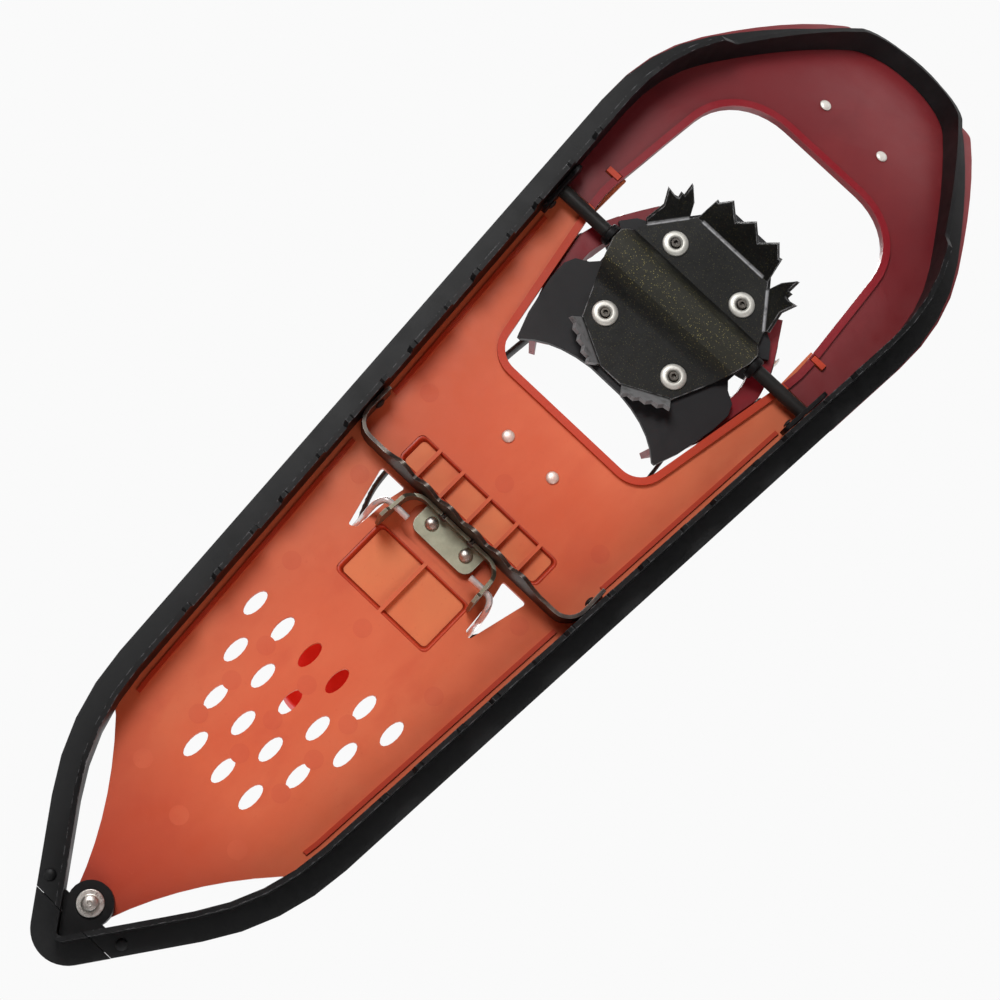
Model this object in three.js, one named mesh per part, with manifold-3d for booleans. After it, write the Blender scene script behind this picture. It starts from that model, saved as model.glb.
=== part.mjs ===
// Snowshoe with a serrated rail frame, two-piece moulded deck, pivoting toe crampon and binding, heel lifter.
// Millimetres. +Z up (teeth down), toe towards -Y, tail towards +Y. Left (-X) and right (+X) are as seen from
// below with the toe at the top.
import * as THREE from 'three';
import { mergeVertices } from 'three/addons/utils/BufferGeometryUtils.js';
import Module from 'manifold-3d';

const wasm = await Module();
wasm.setup();

// ---- driving dimensions ----
const GAP = 0.3;               // clearance between touching pieces
const RAIL_Z = 19;             // underside of the rail flange above the ground
const FLANGE_T = 2.5;
const BLADE_T = 2.5;
const DECK_Z = RAIL_Z + FLANGE_T + GAP;
const DECK_T = 3;
const DECK_TOP = DECK_Z + DECK_T;
const REAR_INSET = 0.6;        // rear deck stays this far inside the toe deck's outline
const BEND_Y = -170;           // the toe starts to curl up here
const BEND_R = 205;
const SPLIT_Y = -116.3;        // joint between the toe deck and the rear deck
const SEAM_Y = 298;            // rails end here, the tail cap begins

// outlines of the flat pattern: corner x, corner y, corner radius
const OUTER = [[0, -329, 60], [42.6, -321.5, 7], [101.4, -195.8, 125], [69.2, 234.5, 130],
  [0, 329.3, 16.6], [-69.2, 234.5, 130], [-101.4, -195.8, 125], [-42.6, -321.5, 7]];
const FLANGE = [[0, -322, 60], [37, -315, 14], [101.1, -195.8, 125], [69.6, 234.8, 130],
  [0, 330, 17], [-69.6, 234.8, 130], [-101.1, -195.8, 125], [-37, -315, 14]];
const BLADE = [[0, -361.6, 37], [88.2, -191, 95], [55.8, 231.2, 117],
  [0, 307.7, 2], [-55.8, 231.2, 117], [-88.2, -191, 95]];
const WINDOW = [[-56, -219, 35], [56, -219, 35], [64.3, -125, 60], [46.5, -29, 13],
  [-46.5, -29, 13], [-64.3, -125, 60]];

// rail teeth: pairs of points around a recess, repeated along each rail
const PLAIN_DEPTH = 17.5;
const TOOTH_DEPTH = RAIL_Z;
const RECESS_DEPTH = 13;
const NOSE_DEPTH = 8;
const TOE_DEPTH = 11;
const FLAT_DEPTH = 18.3;
const TAIL_DEPTH = 14;
const NOTCH_PITCH = 47;
const NOTCH_LENGTH = 15.2;
const FIRST_NOTCH_Y = -136.5;
const NOTCHES = 7;

const AXLE_Y = -110;
const AXLE_Z = 15.5;
const AXLE_R = 3.5;
const AXLE_HALF = 80;
const LIFTER_Y = 61.5;
const LIFTER_Z = 11;
const WIRE_R = 1.6;
const CROSSBAR_Y = 46;

const PLATE_T = 2;             // toe crampon sheet
const PLATE_Z = 17.2;
const FOOT_Z = PLATE_Z + PLATE_T + GAP;
const FOOT_T = 3.2;
const CRADLE_Z = FOOT_Z + FOOT_T + GAP;
const LOOP_Z = 50;             // underside of the heel strap loop
const LOOP_H = 20;

// ---- finishes ----
const COAT = { color: 0x232325, roughness: 0.5, metalness: 0.3 };
const CRAMPON_COAT = { color: 0x2c2b28, roughness: 0.65, metalness: 0.4 };
const MOULDED_BLACK = { color: 0x1d1d1f, roughness: 0.55, metalness: 0 };
const MAROON = { color: 0x7c2a30, roughness: 0.5, metalness: 0 };
const ORANGE = { color: 0xd4643f, roughness: 0.5, metalness: 0 };
const CRIMSON = { color: 0x9c1f2e, roughness: 0.45, metalness: 0 };
const RED = { color: 0xd02018, roughness: 0.5, metalness: 0 };
const STEEL = { color: 0xb9b9b4, roughness: 0.35, metalness: 1 };
const ZINC = { color: 0x8d8f82, roughness: 0.45, metalness: 0.9 };
const CHROME = { color: 0xe2e2e2, roughness: 0.15, metalness: 1 };
const WEBBING = { color: 0x161617, roughness: 0.9, metalness: 0 };

const TIP_Y = 318.2;             // rearmost and foremost points, which the origin lies midway between
const NOSE_Y = -312.8;

const part = new THREE.Group();
part.name = 'snowshoe';
part.position.y = -(TIP_Y + NOSE_Y) / 2;

function addMesh(name, geometry, finish) {
  const mesh = new THREE.Mesh(geometry, new THREE.MeshStandardMaterial(finish));
  mesh.name = name;
  part.add(mesh);
  return mesh;
}

// ---- outline helpers ----
const degrees = THREE.MathUtils.degToRad;
const STEP = degrees(9);

function roundCorners(corners, step = STEP) {
  const points = [];
  corners.forEach(([x, y, radius], i) => {
    const corner = new THREE.Vector2(x, y);
    const before = new THREE.Vector2(...corners.at(i - 1)).sub(corner).normalize();
    const after = new THREE.Vector2(...corners[(i + 1) % corners.length]).sub(corner).normalize();
    const half = Math.acos(THREE.MathUtils.clamp(before.dot(after), -1, 1)) / 2;
    if (!radius) { points.push(corner); return; }
    const middle = before.clone().add(after).normalize();
    const centre = corner.clone().addScaledVector(middle, radius / Math.sin(half));
    const turn = Math.PI - 2 * half;
    const count = Math.max(1, Math.ceil(turn / step));
    const side = Math.sign(before.cross(after)) || 1;
    const from = Math.atan2(-middle.y, -middle.x) + side * turn / 2;
    for (let k = 0; k <= count; k++) {
      const a = from - side * turn * k / count;
      points.push(new THREE.Vector2(centre.x + radius * Math.cos(a), centre.y + radius * Math.sin(a)));
    }
  });
  return points;
}

// moves every side of a convex counter-clockwise outline outwards by d
function offset(corners, d) {
  const count = corners.length;
  const sides = corners.map(([x, y], i) => {
    const [nx, ny] = corners[(i + 1) % count];
    const length = Math.hypot(nx - x, ny - y);
    const dir = [(nx - x) / length, (ny - y) / length];
    return { dir, at: [x + dir[1] * d, y - dir[0] * d] };
  });
  return corners.map(([, , radius], i) => {
    const a = sides[(i + count - 1) % count];
    const b = sides[i];
    const cross = a.dir[0] * b.dir[1] - a.dir[1] * b.dir[0];
    const t = ((b.at[0] - a.at[0]) * b.dir[1] - (b.at[1] - a.at[1]) * b.dir[0]) / cross;
    return [a.at[0] + a.dir[0] * t, a.at[1] + a.dir[1] * t, radius ? Math.max(radius + d, 1) : 0];
  });
}

const toShape = (points) => new THREE.Shape(points.map((p) => (p.isVector2 ? p : new THREE.Vector2(...p))));
const outline = (corners, step) => toShape(roundCorners(corners, step));
const mirrorX = (points) => points.map(([x, ...rest]) => [-x, ...rest]);
const bothSides = (points) => [...points, ...mirrorX(points).reverse()];

// ---- solid helpers ----
function extrude(shape, depth) {
  return new THREE.ExtrudeGeometry(shape, { depth, bevelEnabled: false, curveSegments: 6 });
}

// plan outline between two heights
function prism(shape, z0, z1) {
  return extrude(shape, z1 - z0).translate(0, 0, z0);
}

// side outline given as (y, z), running from x0 to x1
function sidePrism(shape, x0, x1) {
  const place = new THREE.Matrix4().makeBasis(
    new THREE.Vector3(0, 1, 0), new THREE.Vector3(0, 0, 1), new THREE.Vector3(1, 0, 0));
  return extrude(shape, x1 - x0).applyMatrix4(place).translate(x0, 0, 0);
}

// front outline given as (x, z), running from y0 to y1
function frontPrism(shape, y0, y1) {
  return extrude(shape, y1 - y0).rotateX(Math.PI / 2).translate(0, y1, 0);
}

function rodAlongX(radius, x0, x1, y, z, count = 20) {
  return new THREE.CylinderGeometry(radius, radius, x1 - x0, count).rotateZ(Math.PI / 2)
    .translate((x0 + x1) / 2, y, z);
}

function rodAlongZ(radius, z0, z1, x, y, count = 12) {
  return new THREE.CylinderGeometry(radius, radius, z1 - z0, count).rotateX(Math.PI / 2)
    .translate(x, y, (z0 + z1) / 2);
}

function solid(geometry) {
  if (!geometry.isBufferGeometry) return geometry;
  const bare = geometry.clone();
  bare.deleteAttribute('normal');
  bare.deleteAttribute('uv');
  const welded = mergeVertices(bare, 1e-4);
  return new wasm.Manifold(new wasm.Mesh({
    numProp: 3,
    vertProperties: new Float32Array(welded.attributes.position.array),
    triVerts: new Uint32Array(welded.index.array),
  }));
}
const join = (...pieces) => pieces.map(solid).reduce((a, b) => a.add(b));
const cut = (body, ...tools) => tools.map(solid).reduce((a, b) => a.subtract(b), solid(body));
const meet = (a, b) => solid(a).intersect(solid(b));

function toGeometry(body) {
  const { vertProperties, triVerts, numProp } = body.getMesh();
  const positions = [];
  for (const v of triVerts) positions.push(...vertProperties.subarray(v * numProp, v * numProp + 3));
  const geometry = new THREE.BufferGeometry();
  geometry.setAttribute('position', new THREE.Float32BufferAttribute(positions, 3));
  geometry.computeVertexNormals();
  return geometry;
}

function mirrored(geometry) {                     // reflects in the plane x = 0, faces kept outwards
  const flipped = (geometry.index ? geometry.toNonIndexed() : geometry.clone()).scale(-1, 1, 1);
  const position = flipped.attributes.position.array;
  for (let i = 0; i < position.length; i += 9) {
    for (let k = 0; k < 3; k++) {
      [position[i + 3 + k], position[i + 6 + k]] = [position[i + 6 + k], position[i + 3 + k]];
    }
  }
  flipped.computeVertexNormals();
  return flipped;
}

// ---- curling the toe up ----
function splitAt(triangles, y) {
  const pieces = [];
  const mix = (a, b) => {                       // the same point whichever way the edge runs
    const [low, high] = a[1] < b[1] ? [a, b] : [b, a];
    const t = (y - low[1]) / (high[1] - low[1]);
    return [low[0] + (high[0] - low[0]) * t, y, low[2] + (high[2] - low[2]) * t];
  };
  for (const triangle of triangles) {
    const side = triangle.map((p) => (Math.abs(p[1] - y) < 1e-3 ? 0 : Math.sign(p[1] - y)));
    if (!(side.includes(1) && side.includes(-1))) { pieces.push(triangle); continue; }
    for (const keep of [1, -1]) {
      const ring = [];
      triangle.forEach((p, i) => {
        const j = (i + 1) % 3;
        if (side[i] === keep || side[i] === 0) ring.push(p);
        if (side[i] * side[j] === -1) ring.push(mix(p, triangle[j]));
      });
      for (let k = 2; k < ring.length; k++) pieces.push([ring[0], ring[k - 1], ring[k]]);
    }
  }
  return pieces;
}

function curl([x, y, z]) {
  if (y >= BEND_Y) return [x, y, z];
  const angle = (BEND_Y - y) / BEND_R;
  const radius = BEND_R - (z - RAIL_Z);
  return [x, BEND_Y - radius * Math.sin(angle), RAIL_Z + BEND_R - radius * Math.cos(angle)];
}

function curlToe(body) {
  const flat = toGeometry(body).attributes.position.array;
  let triangles = [];
  for (let i = 0; i < flat.length; i += 9) {
    triangles.push([0, 3, 6].map((k) => Array.from(flat.subarray(i + k, i + k + 3))));
  }
  const SLICE = 14.5;
  for (let y = BEND_Y; y > -330; y -= SLICE) triangles = splitAt(triangles, y);
  const geometry = new THREE.BufferGeometry();
  geometry.setAttribute('position', new THREE.Float32BufferAttribute(triangles.flat().map(curl).flat(), 3));
  geometry.computeVertexNormals();
  return geometry;
}

// a turned fastener pointing down: dome head below z, shank above it
function fastener(name, x, y, z, { head, height, shank, length, finish = STEEL, count = 12 }) {
  const profile = [[0, -height], [head * 0.65, -height * 0.8], [head, -height * 0.15], [head, 0], [shank, 0],
    [shank, length], [0, length]].map((p) => new THREE.Vector2(...p));
  const mesh = addMesh(name, new THREE.LatheGeometry(profile, count).rotateX(Math.PI / 2), finish);
  mesh.position.set(x, y, z);
  return mesh;
}

const EVERYTHING = 1400;
const keepBehind = (body, y) => cut(body, new THREE.BoxGeometry(EVERYTHING, EVERYTHING, EVERYTHING)
  .translate(0, y - EVERYTHING / 2, 0));
const keepAhead = (body, y) => cut(body, new THREE.BoxGeometry(EVERYTHING, EVERYTHING, EVERYTHING)
  .translate(0, y + EVERYTHING / 2, 0));

// ---- rail frame ----
function railBottom() {                          // (y, z) line along the lower edge of the blade
  const line = [[-345, RAIL_Z - NOSE_DEPTH], [-318, RAIL_Z - NOSE_DEPTH], [-300, RAIL_Z - TOE_DEPTH],
    [-226, RAIL_Z - TOE_DEPTH], [-218, RAIL_Z - FLAT_DEPTH], [-183, RAIL_Z - FLAT_DEPTH],
    [-182, RAIL_Z - PLAIN_DEPTH]];
  const tooth = 4.2;
  for (let k = 0; k < NOTCHES; k++) {
    const a = FIRST_NOTCH_Y + k * NOTCH_PITCH;
    const b = a + NOTCH_LENGTH;
    line.push([a - tooth - 1.2, RAIL_Z - PLAIN_DEPTH], [a - tooth, RAIL_Z - TOOTH_DEPTH],
      [a - 1.4, RAIL_Z - TOOTH_DEPTH], [a, RAIL_Z - RECESS_DEPTH], [b, RAIL_Z - RECESS_DEPTH],
      [b + 1.4, RAIL_Z - TOOTH_DEPTH], [b + tooth, RAIL_Z - TOOTH_DEPTH], [b + tooth + 1.2, RAIL_Z - PLAIN_DEPTH]);
  }
  line.push([250, RAIL_Z - PLAIN_DEPTH], [270, RAIL_Z - TAIL_DEPTH], [320, RAIL_Z - TAIL_DEPTH]);
  return line;
}

const bladeOuter = offset(BLADE, BLADE_T);

function flatFrame() {
  const flange = cut(prism(outline(FLANGE), RAIL_Z, RAIL_Z + FLANGE_T),
    prism(outline(BLADE), RAIL_Z - 1, RAIL_Z + FLANGE_T + 1));
  const blade = cut(prism(outline(bladeOuter), 0, RAIL_Z + 1), prism(outline(BLADE), -1, RAIL_Z + 2));
  const below = toShape([...railBottom(), [320, -30], [-345, -30]].reverse());
  return keepAhead(cut(join(flange, blade), sidePrism(below, -150, 150)), SEAM_Y);
}

const TAIL_BOLT_Y = 287.2;
const TAIL_SCREW = [22.5, 290.5];
const BRACKET_LEAN = Math.atan(0.0777);

function buildFrame() {
  const screwHoles = [-1, 1].map((s) =>
    rodAlongZ(1.7, RAIL_Z - 1, RAIL_Z + FLANGE_T + 1, s * TAIL_SCREW[0], TAIL_SCREW[1], 10));
  const frame = cut(flatFrame(), ...screwHoles);
  addMesh('frame_rail', curlToe(frame), COAT);
}

function buildTailCap() {
  const tip = keepBehind(prism(outline(FLANGE), RAIL_Z, DECK_TOP), SEAM_Y + GAP);
  const blade = keepBehind(cut(prism(outline(bladeOuter), RAIL_Z - TAIL_DEPTH, RAIL_Z + 1),
    prism(outline(BLADE), 0, RAIL_Z)), SEAM_Y + GAP);
  const tongueRing = cut(prism(outline(offset(OUTER, -3)), DECK_Z, DECK_TOP),
    prism(outline(offset(BLADE, 0.6)), 0, 40));
  const tongues = keepAhead(keepBehind(tongueRing, 283), SEAM_Y + 2);
  const bossR = 10.6;
  const bossTop = DECK_Z - GAP;
  const web = keepBehind(prism(outline(offset(BLADE, -GAP)), 13, bossTop), TAIL_BOLT_Y + 3);
  const boss = rodAlongZ(bossR, 13, bossTop, 0, TAIL_BOLT_Y, 26);
  const inBlade = meet(boss, prism(outline(offset(BLADE, -GAP)), 0, 40));
  const holes = [-1, 1].map((s) => rodAlongZ(1.7, DECK_Z - 1, DECK_TOP - 0.8, s * TAIL_SCREW[0], TAIL_SCREW[1], 10));
  const cap = cut(join(tip, blade, tongues, web, inBlade), rodAlongZ(3.3, 5, 30, 0, TAIL_BOLT_Y, 16), ...holes);
  addMesh('tail_cap', toGeometry(cap), MOULDED_BLACK);
  const washer = [[3.3, 0], [6.4, 0], [6.4, 0.9], [3.3, 0.9], [3.3, 0]].map((p) => new THREE.Vector2(...p));
  addMesh('tail_washer', new THREE.LatheGeometry(washer, 28).rotateX(Math.PI / 2), STEEL)
    .position.set(0, TAIL_BOLT_Y, 13 - GAP - 0.9);
  fastener('tail_bolt', 0, TAIL_BOLT_Y, 13 - 2 * GAP - 0.9,
    { head: 4.2, height: 3, shank: 2.8, length: DECK_TOP + 1 - 11.5, count: 18 });
  for (const [side, s] of [['left', -1], ['right', 1]]) {
    fastener(`tail_screw_${side}`, s * TAIL_SCREW[0], TAIL_SCREW[1], RAIL_Z - GAP,
      { head: 2.9, height: 1.3, shank: 1.35, length: FLANGE_T + 2.2, finish: COAT, count: 12 });
  }
}

// ---- decks ----
const TOE_RIVET = [19.2, -248.5];
const MID_RIVET = [14.5, -3];
const HEEL_RIVET = [11, 54];
const TAB = [[64.5, 72], [-137.6, -134.6]];

function buildToeDeck() {
  const plate = cut(prism(outline(OUTER), DECK_Z, DECK_TOP), prism(outline(WINDOW), 0, 40));
  const rim = cut(prism(outline(offset(WINDOW, 3.8)), DECK_Z - 1.6, DECK_Z + 1), prism(outline(WINDOW), 0, 40));
  const slots = [-1, 1].map((s) => new THREE.BoxGeometry(8.3, 3.8, 8)
    .translate(s * (TAB[0][0] + TAB[0][1]) / 2, (TAB[1][0] + TAB[1][1]) / 2, DECK_Z + 1));
  const rivets = [-1, 1].map((s) => rodAlongZ(1.9, DECK_Z - 1, DECK_TOP + 1, s * TOE_RIVET[0], TOE_RIVET[1]));
  addMesh('toe_deck', curlToe(keepAhead(cut(join(plate, rim), ...slots, ...rivets), SPLIT_Y)), MAROON);
  for (const [side, s] of [['left', -1], ['right', 1]]) {
    const [x, y, z] = curl([s * TOE_RIVET[0], TOE_RIVET[1], DECK_Z - GAP]);
    const mesh = fastener(`toe_rivet_${side}`, x, y, z, { head: 3.1, height: 1.5, shank: 1.55, length: DECK_T });
    mesh.rotation.x = -(BEND_Y - TOE_RIVET[1]) / BEND_R;
  }
}

const OVAL_PITCH = [17.6, 21.9];
const OVAL_SIZE = [6.6, 14.7];
const FIRST_OVAL_Y = 138;
const OVAL_ROWS = [6, 5, 4, 3];

function ovals() {
  const tools = [];
  const [width, length] = OVAL_SIZE;
  OVAL_ROWS.forEach((count, row) => {
    for (let i = 0; i < count; i++) {
      const x = (i - (count - 1) / 2) * OVAL_PITCH[0];
      const y = FIRST_OVAL_Y + row * OVAL_PITCH[1];
      tools.push(new THREE.CylinderGeometry(1, 1, 20, 16).rotateX(Math.PI / 2)
        .scale(width / 2, length / 2, 1).translate(x, y, DECK_Z));
    }
  });
  return tools;
}

const REAR_AT_SPLIT = 94.4;                     // half width of the rear deck where the two decks meet

function rearDeckOutline() {
  const shape = new THREE.Shape();
  const sides = roundCorners(offset(OUTER, -REAR_INSET)).filter((p) => p.x > 0 && p.y > SPLIT_Y + 4 && p.y < 206);
  const right = [[REAR_AT_SPLIT, SPLIT_Y + GAP], ...sides.map((p) => [p.x, p.y]), [70.6, 206], [53, 219.5]];
  const tail = new THREE.QuadraticBezierCurve(new THREE.Vector2(53, 219.5), new THREE.Vector2(23, 251),
    new THREE.Vector2(9.6, 287)).getPoints(7).slice(1).map((p) => [p.x, p.y]);
  const end = [75, 55, 35, 15].map((a) => THREE.MathUtils.degToRad(a))
    .map((a) => [9.6 * Math.sin(a), TAIL_BOLT_Y + 9.6 * Math.cos(a)]);
  shape.setFromPoints(bothSides([...right, ...tail, ...end]).map((p) => new THREE.Vector2(...p)));
  return shape;
}

function pocket(x0, x1, y0, y1, top, radius = 3) {
  return prism(outline([[x0, y0, radius], [x1, y0, radius], [x1, y1, radius], [x0, y1, radius]],
    Math.PI / 6), DECK_Z - 3, top);
}

const PAD_TOP = 28.3;
const POCKET_TOP = 25.6;
const RIB_T = 1.8;
const TRIANGLE = [[32, 49.8, 1], [47.2, 49.8, 1.5], [39.2, 81.5, 1.2], [35.4, 79, 1], [33.8, 58, 1]];

function pads() {
  const front = pocket(-46.8, 46.8, 22.5, 43.5, PAD_TOP, 4);
  const rear = pocket(-33, 31, 42, 103, PAD_TOP, 4);
  const slab = new THREE.BoxGeometry(120, 120, 20).translate(0, 60, DECK_Z - 10 + 1);
  return cut(join(front, rear), slab);
}

function rib(x0, x1, y0, y1, top = POCKET_TOP + 1) {
  return new THREE.BoxGeometry(x1 - x0, y1 - y0, top - DECK_Z)
    .translate((x0 + x1) / 2, (y0 + y1) / 2, (top + DECK_Z) / 2);
}

function buildRearDeck() {
  const plate = cut(prism(rearDeckOutline(), DECK_Z, DECK_TOP), prism(outline(WINDOW), 0, 40));
  const rim = keepBehind(cut(prism(outline(offset(WINDOW, 3.8)), DECK_Z - 2, DECK_Z + 1),
    prism(outline(WINDOW), 0, 40)), SPLIT_Y + GAP);
  const bead = cut(prism(outline(offset(BLADE, -3)), DECK_Z - 1, DECK_Z + 1),
    prism(outline(offset(BLADE, -5.2)), 0, 40));
  const beads = cut(keepAhead(keepBehind(bead, -96), 205),
    new THREE.BoxGeometry(200, 30, 10).translate(0, CROSSBAR_Y - 11, DECK_Z - 5));
  const pockets = [pocket(-45, 45, 24.5, 41.5, POCKET_TOP), pocket(-29.4, 29.4, 69.2, 101, POCKET_TOP),
    pocket(-22.5, 22.5, 47.6, 66, DECK_Z + 1.2, 6)];
  const ribs = [-32.7, -17.7, 0, 17.7, 32.7].map((x) => rib(x - RIB_T / 2, x + RIB_T / 2, 23.5, 42.5));
  ribs.push(rib(-RIB_T / 2, RIB_T / 2, 68, 102));
  const hooks = [-1, 1].flatMap((s) => {
    const x = s * (TAB[0][0] + TAB[0][1]) / 2;
    const wide = TAB[0][1] - TAB[0][0];
    return [
      new THREE.BoxGeometry(wide, 3, 6.4).translate(x, (TAB[1][0] + TAB[1][1]) / 2, DECK_TOP + 1.6 - 3.2),
      new THREE.BoxGeometry(wide + 5, 29, 2).translate(x, SPLIT_Y - 8.5, DECK_TOP + GAP + 1),
      new THREE.BoxGeometry(wide + 5, 5, 4).translate(x, SPLIT_Y + GAP + 2.5, DECK_TOP + GAP),
    ];
  });
  const openings = [outline(TRIANGLE, Math.PI / 4), outline(mirrorX(TRIANGLE).reverse(), Math.PI / 4)]
    .map((shape) => prism(shape, 0, 40));
  const holes = [-1, 1].flatMap((s) => [rodAlongZ(1.9, 15, 40, s * MID_RIVET[0], MID_RIVET[1]),
    rodAlongZ(1.9, 15, 40, s * HEEL_RIVET[0], HEEL_RIVET[1])]);
  const body = cut(join(plate, rim, beads, pads()), ...pockets, ...ovals(), ...openings,
    ...holes, rodAlongZ(3.3, 0, 40, 0, TAIL_BOLT_Y, 16));
  addMesh('rear_deck', toGeometry(join(body, ...ribs, ...hooks)), ORANGE);
  for (const [side, s] of [['left', -1], ['right', 1]]) {
    fastener(`deck_rivet_${side}`, s * MID_RIVET[0], MID_RIVET[1], DECK_Z - GAP,
      { head: 3.2, height: 1.6, shank: 1.55, length: DECK_T });
  }
}

// ---- axle ----
const BRACKET_RIVETS = [[AXLE_Y + 9.5, 14]];

function buildAxle() {
  addMesh('axle_rod', rodAlongX(AXLE_R, -AXLE_HALF, AXLE_HALF, AXLE_Y, AXLE_Z, 24), COAT);
  for (const [side, s] of [['left', -1], ['right', 1]]) {
    const ring = [[AXLE_R + GAP, 0], [5.6, 0], [5.6, 3.2], [4.9, 4], [AXLE_R + GAP, 4], [AXLE_R + GAP, 0]]
      .map((p) => new THREE.Vector2(...p));
    const collar = new THREE.LatheGeometry(ring, 20).rotateZ(-s * Math.PI / 2);
    addMesh(`axle_collar_${side}`, collar, MOULDED_BLACK).position.set(s * 45.6, AXLE_Y, AXLE_Z);
    const inner = 73.4 - 0.0777 * AXLE_Y - GAP;
    const plate = outline([[-14.5, 9.3, 3], [14.5, 9.3, 3], [14.5, 18.7, 1], [-14.5, 18.7, 1]], Math.PI / 6);
    const bracket = cut(sidePrism(plate, -2.2, 0).rotateZ(BRACKET_LEAN).translate(inner - 0.4, AXLE_Y, 0),
      rodAlongX(AXLE_R + GAP, 60, 100, AXLE_Y, AXLE_Z, 20),
      ...BRACKET_RIVETS.map(([y, z]) => rodAlongX(1.9, 60, 100, y, z, 10)));
    const geometry = toGeometry(bracket);
    addMesh(`axle_bracket_${side}`, s > 0 ? geometry : mirrored(geometry), COAT);
    BRACKET_RIVETS.forEach(([y, z], i) => {
      const rivet = fastener(`axle_bracket_rivet_${side}`,
        s * (inner - 3.4 - (y - AXLE_Y) * Math.tan(BRACKET_LEAN)), y, z,
        { head: 2.6, height: 1.2, shank: 1.35, length: 2.2, finish: COAT, count: 10 });
      rivet.rotation.set(0, s * Math.PI / 2, 0);
    });
  }
}

// ---- crossbar crampon behind the window ----
function buildCrossbar() {
  const half = 70.4;
  const thick = 2;
  const loop = [[-half, 22, 0], [-half, CROSSBAR_Y + 1, 11], [half, CROSSBAR_Y + 1, 11], [half, 22, 0],
    [half - thick, 22, 0], [half - thick, CROSSBAR_Y - 1, 9], [-half + thick, CROSSBAR_Y - 1, 9],
    [-half + thick, 22, 0]].reverse();
  const strip = prism(outline(loop, Math.PI / 12), 0.3, DECK_Z - GAP);
  const edge = [[-90, 8], [-50, 8]];
  const pitch = 15.4;
  for (let k = 0; k < 6; k++) {
    const x = (k - 2.5) * pitch;
    edge.push([x - pitch / 2 + 0.6, 5.6], [x - 2.2, 0.9], [x, 0.3], [x + 2.2, 0.9], [x + pitch / 2 - 0.6, 5.6]);
  }
  edge.push([50, 8], [90, 8], [90, -10], [-90, -10]);
  const below = frontPrism(toShape(edge), 0, 80);
  const holes = [-1, 1].flatMap((s) => [rodAlongX(1.7, s > 0 ? 60 : -80, s > 0 ? 80 : -60, 30, 14.5, 10),
    new THREE.CylinderGeometry(1.6, 1.6, 20, 10).translate(s * 9, CROSSBAR_Y, 15)]);
  addMesh('crossbar_crampon', toGeometry(cut(strip, below, ...holes)), ZINC);
  for (const [side, s] of [['left', -1], ['right', 1]]) {
    const leg = fastener(`crossbar_rivet_${side}`, s * (half - thick - GAP), 30, 14.5,
      { head: 2.8, height: 1.5, shank: 1.35, length: 2.1, finish: COAT, count: 12 });
    leg.rotation.y = s * Math.PI / 2;
  }
}

// ---- heel crampon and lifter ----
const ARM = [[-19.5, 0], [-28.6, 10], [-30.2, 25.5]];

function buildHeelCrampon() {
  const t = 1.8;
  const y = CROSSBAR_Y + 1 + GAP;
  const path = [[-30.4, y + 25, 0], [-28.9, y, 9.5], [28.9, y, 9.5], [30.4, y + 25, 0],
    [30.4 - t, y + 25, 0], [28.9 - t, y + t, 7.7], [-28.9 + t, y + t, 7.7], [-30.4 + t, y + 25, 0]];
  const strip = prism(outline(path, Math.PI / 12), 2.2, 20.6);
  const arms = toShape([[y - 1, 14], [y - 1, -4], [y + 40, -4], [y + 40, 25], [y + 25.5, 25], [y + 25.5, 20],
    [y + 23.5, 3], [y + 19.5, 2.2], [y + 17.5, 6.4], [y + 8, 8.4], [y + 3, 14]].reverse());
  const plate = prism(outline([[-18.4, y, 0], [18.4, y, 0], [18.4, y + 14.6, 5], [-18.4, y + 14.6, 5]],
    Math.PI / 12), 20.6 - t, 20.6);
  const cuts = [-1, 1].flatMap((s) => [
    rodAlongX(WIRE_R + 0.5, s > 0 ? 20 : -40, s > 0 ? 40 : -20, LIFTER_Y, LIFTER_Z, 14),
    rodAlongZ(1.9, 15, 25, s * HEEL_RIVET[0], HEEL_RIVET[1]),
    new THREE.CylinderGeometry(1.6, 1.6, 12, 10).translate(s * 9, y, 15)]);
  const window = sidePrism(arms, -50, 50);
  addMesh('heel_crampon', toGeometry(cut(join(cut(strip, window), plate), ...cuts)), ZINC);
  for (const [side, s] of [['left', -1], ['right', 1]]) {
    fastener(`heel_rivet_${side}`, s * HEEL_RIVET[0], HEEL_RIVET[1], 20.6 - t - GAP,
      { head: 3.6, height: 2.2, shank: 1.55, length: 7.5, count: 16 });
    const web = fastener(`web_rivet_${side}`, s * 9, y + t + GAP, 15,
      { head: 2.4, height: 1.2, shank: 1.25, length: 4.4, finish: COAT, count: 12 });
    web.rotation.x = Math.PI / 2;
  }
}

function wire(points, radius, steps, count = 8) {
  const path = new THREE.CatmullRomCurve3(points.map((p) => new THREE.Vector3(...p)), false, 'centripetal');
  const section = new THREE.Shape(Array.from({ length: count }, (_, k) => new THREE.Vector2(
    radius * Math.cos(2 * Math.PI * k / count), radius * Math.sin(2 * Math.PI * k / count))));
  return new THREE.ExtrudeGeometry(section, { extrudePath: path, steps, bevelEnabled: false });
}

const STOW_Z = PAD_TOP + 2 * GAP + WIRE_R;       // the bail lies back on the pad

function buildLifter() {
  const half = [[20, LIFTER_Y, LIFTER_Z], [30.5, LIFTER_Y, LIFTER_Z], [34.4, 63.4, LIFTER_Z + 0.5],
    [36.2, 67, 14.5], [36.9, 70.6, 21], [37.1, 75, 28], [37, 80, STOW_Z], [36.8, 93, STOW_Z], [34.5, 98.6, STOW_Z],
    [28, 100, STOW_Z]];
  const points = [...mirrorX(half), [0, 100, STOW_Z], ...half.slice().reverse()];
  addMesh('heel_lifter', wire(points, WIRE_R, 60), CHROME);
}

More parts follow.
